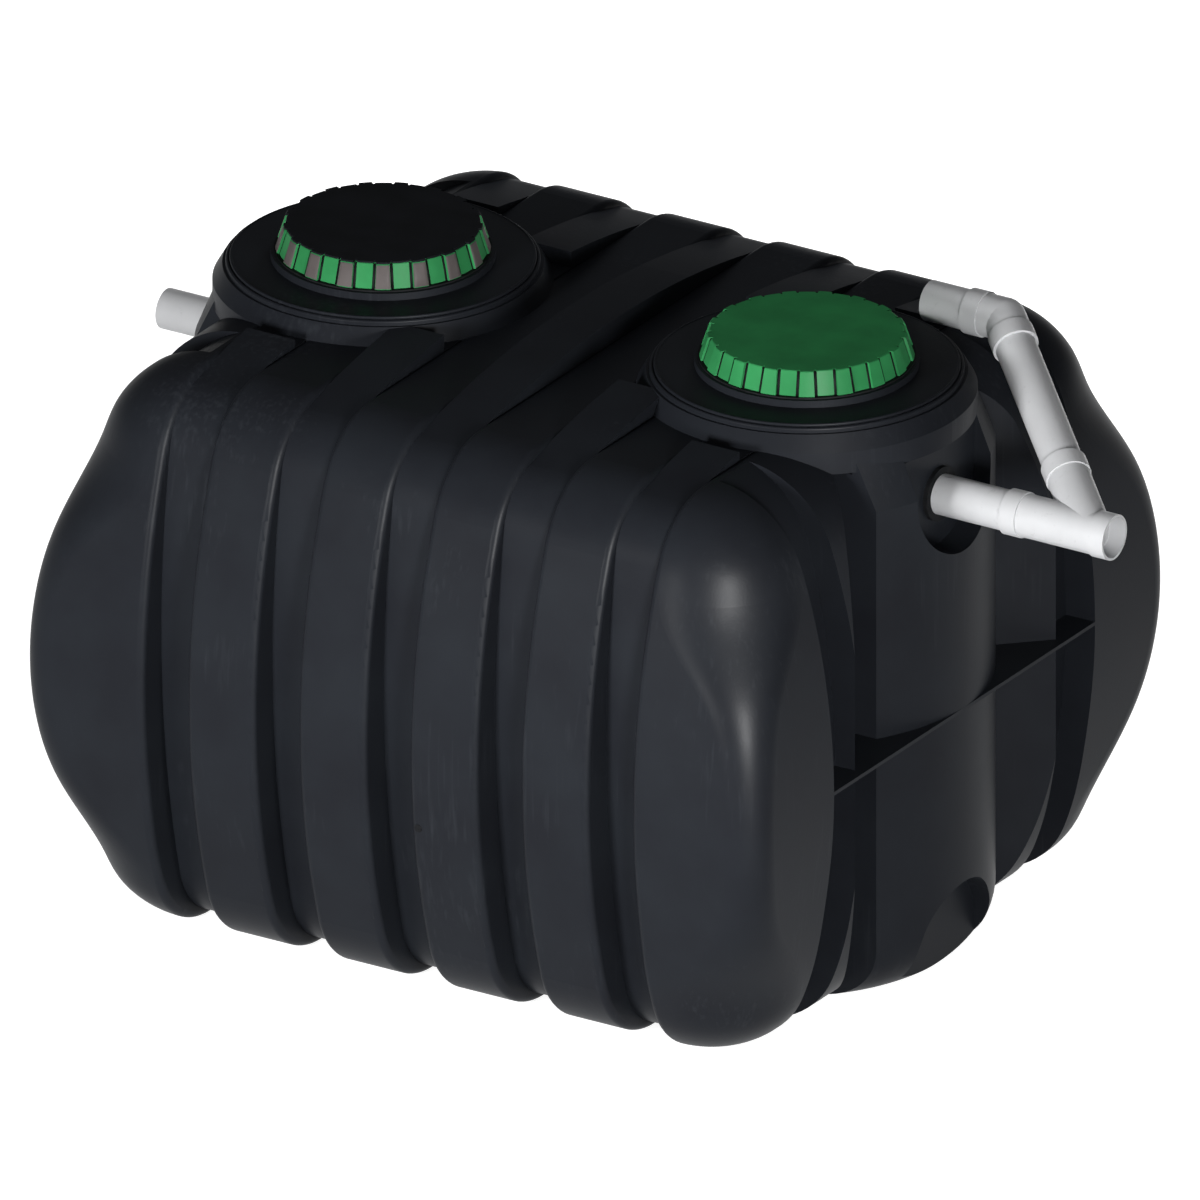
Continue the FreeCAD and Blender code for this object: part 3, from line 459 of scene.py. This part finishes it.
# %% [markdown]
# ## Rounded lips of the neck flanges
# A moulded flange has no sharp rim. Its edge and the step above it are drawn as rounded
# lips, so that a soft line of light runs round each neck. A lip is a ring: a circle is
# carried round the neck's axis, and all four rings are one array. With the ring's radius
# R, the lip's radius q and the angle s round the circle, a point's reach is R + q cos s,
# and it stands q sin s above the ring.

# %% Flange lips
# Radius of the ring, its height above the flange's foot, and radius of the lip.
LIPS = ((407.5 * MM, 8 * MM, 6 * MM), (398.5 * MM, 17 * MM, 4.5 * MM))
turn = np.linspace(0, FULL_TURN, 144, endpoint=False)[:, None]
section = np.linspace(0, FULL_TURN, 17)
rings = []
for name in ("inlet_neck_flange", "outlet_neck_flange"):
    axis, foot, _ = upright(name)
    for ring, level, thick in LIPS:
        rings.append(round_axis(axis, ring + thick * np.cos(section), turn,
                                foot + level + thick * np.sin(section)))
lips = mesh_from_grids("neck_flange_lips", np.stack(rings), black_polyethylene, closed=True)
close_up(lips)
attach(lips, "tank")
print("flange lips:", len(rings))

# %% [markdown]
# ## Vent plug in the front wall
# A turning mould breathes through a small hole, and the hole it leaves in the wall is
# shut with a push-in plug. The plug is a shallow dome with a rounded rim: its radius
# and its height above the wall are given along one parameter and turned about its
# axis with the other. The wall is part of a circle of radius C in its upright section,
# so at a height d above or below its middle it lies C - sqrt(C^2 - d^2) behind its
# foremost line.

# %% Vent plug
WALL_HALF, WALL_CURVE, WALL_MIDDLE = 1035 * MM, 1914 * MM, 770 * MM
PLUG_X, PLUG_Z, PLUG_SIDES = 92 * MM, 568 * MM, 32
drop = PLUG_Z - WALL_MIDDLE
plug_y = -(WALL_HALF - WALL_CURVE + math.sqrt(WALL_CURVE ** 2 - drop ** 2))
profile = np.array([[11.0, -1.0], [11.0, 1.6], [10.2, 2.6], [7.0, 3.4], [0.0, 3.8]]) * MM
turn = np.linspace(0, FULL_TURN, PLUG_SIDES, endpoint=False)[:, None]
flat = round_axis((0, 0), profile[:, 0], turn, profile[:, 1])
dome = np.stack([PLUG_X + flat[..., 0], plug_y - flat[..., 2], PLUG_Z + flat[..., 1]], axis=-1)
plug = mesh_from_grids("front_wall_vent_plug", dome[None], seal_rubber, closed=True)
close_up(plug)
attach(plug, "tank")
print("vent plug at", round(plug_y, 4))

# %% [markdown]
# ## Floor, light and camera
# The tank stands on a plain pale floor. The lamps stand low, so that the front is lit,
# the end is half lit and the roof stays dark, as in the photograph: a key lamp in
# front, a weaker side lamp for the end, and one for the back, which is kept out of
# reflections because it would shine off the flat tops. A dim even sky fills the
# shadows. A small glint lamp is seen in reflections only, and draws the long soft
# highlight down the rounded corner. To the camera, and in reflections, the floor adds
# enough light of its own to read as white.

# %% Floor
FLOOR_HALF, FLOOR_GLOW = 40.0, 0.94
side = np.linspace(-FLOOR_HALF, FLOOR_HALF, 3)
across, along = np.meshgrid(side, side, indexing="ij")
floor_paint, tree, _ = blank_finish("pale_studio_floor_paint")
level_ground = np.stack([across, along, 0 * across], axis=-1)
floor = mesh_from_grids("floor", level_ground[None], floor_paint)
ray = add(tree, "ShaderNodeLightPath").outputs
mirrored = add(tree, "ShaderNodeMath", {0: ray["Is Glossy Ray"], 1: ray["Is Transmission Ray"]},
               operation="MAXIMUM").outputs[0]
seen = add(tree, "ShaderNodeMath", {0: ray["Is Camera Ray"], 1: mirrored},
           operation="MAXIMUM").outputs[0]
matte = add(tree, "ShaderNodeBsdfDiffuse", {"Color": linear("#b8b8b8")}).outputs[0]
glow = add(tree, "ShaderNodeEmission", {"Color": WHITE, "Strength": FLOOR_GLOW}).outputs[0]
lit = add(tree, "ShaderNodeAddShader", {0: matte, 1: glow}).outputs[0]
mixed = add(tree, "ShaderNodeMixShader", {0: seen, 1: matte, 2: lit}).outputs[0]
add(tree, "ShaderNodeOutputMaterial", {"Surface": mixed})

# %% Sky and lamps
SKY_LEVEL = 0.10
LAMP_AWAY, LAMP_AIM = 7.0, Vector((0, 0, 0.8))
world = bpy.data.worlds.new("dim_sky")
bpy.context.scene.world = world
world.use_nodes = True
tree = world.node_tree
tree.nodes.clear()
sky = add(tree, "ShaderNodeBackground", {"Color": WHITE, "Strength": SKY_LEVEL})
add(tree, "ShaderNodeOutputWorld", {"Surface": sky.outputs[0]})


def towards(turn, rise):
    """Unit vector from the tank towards a viewer at an azimuth and elevation in degrees."""
    turn, rise = math.radians(turn), math.radians(rise)
    level = math.cos(rise)
    return Vector((math.sin(turn) * level, -math.cos(turn) * level, math.sin(rise)))


def stand_lamp(name, turn, rise, size, level):
    """A square lamp at an azimuth and elevation, turned to the tank. At level 1 it lights
    a white surface that faces it to plain white: a lamp of P watts gives P / (pi r)^2."""
    light = bpy.data.lights.new(name, "AREA")
    light.size = size
    light.energy = level * (math.pi * LAMP_AWAY) ** 2
    made = bpy.data.objects.new(name, light)
    bpy.context.scene.collection.objects.link(made)
    made.location = LAMP_AIM + towards(turn, rise) * LAMP_AWAY
    made.rotation_euler = towards(turn, rise).to_track_quat("Z", "Y").to_euler()
    print(name, "watts:", round(light.energy))
    return made


stand_lamp("key_lamp", turn=-4, rise=13, size=1.3, level=0.66)
stand_lamp("side_lamp", turn=46, rise=10, size=1.3, level=0.46)
back_lamp = stand_lamp("back_lamp", turn=200, rise=12, size=1.3, level=0.75)
back_lamp.visible_glossy = False
glint_lamp = stand_lamp("glint_lamp", turn=50, rise=15, size=1.0, level=2.4)
glint_lamp.visible_diffuse = False

# %% Camera
# The photograph has next to no perspective, so the camera's view is parallel.
VIEW_WIDTH, VIEW_AWAY, VIEW_END = 3.144, 12.0, 100.0
VIEW_AIM = Vector((0.011, 0.0069, 0.814))
VIEW_TURN, VIEW_RISE = 31.9, 24.0
camera = bpy.data.cameras.new("camera")
camera.type = "ORTHO"
camera.ortho_scale = VIEW_WIDTH
camera.clip_end = VIEW_END
viewer = bpy.data.objects.new("camera", camera)
bpy.context.scene.collection.objects.link(viewer)
aim = towards(VIEW_TURN, VIEW_RISE)
viewer.location = VIEW_AIM + aim * VIEW_AWAY
viewer.rotation_euler = aim.to_track_quat("Z", "Y").to_euler()
bpy.context.scene.camera = viewer
bpy.context.scene.view_settings.view_transform = "Standard"
print("camera at", [round(c, 2) for c in viewer.location])
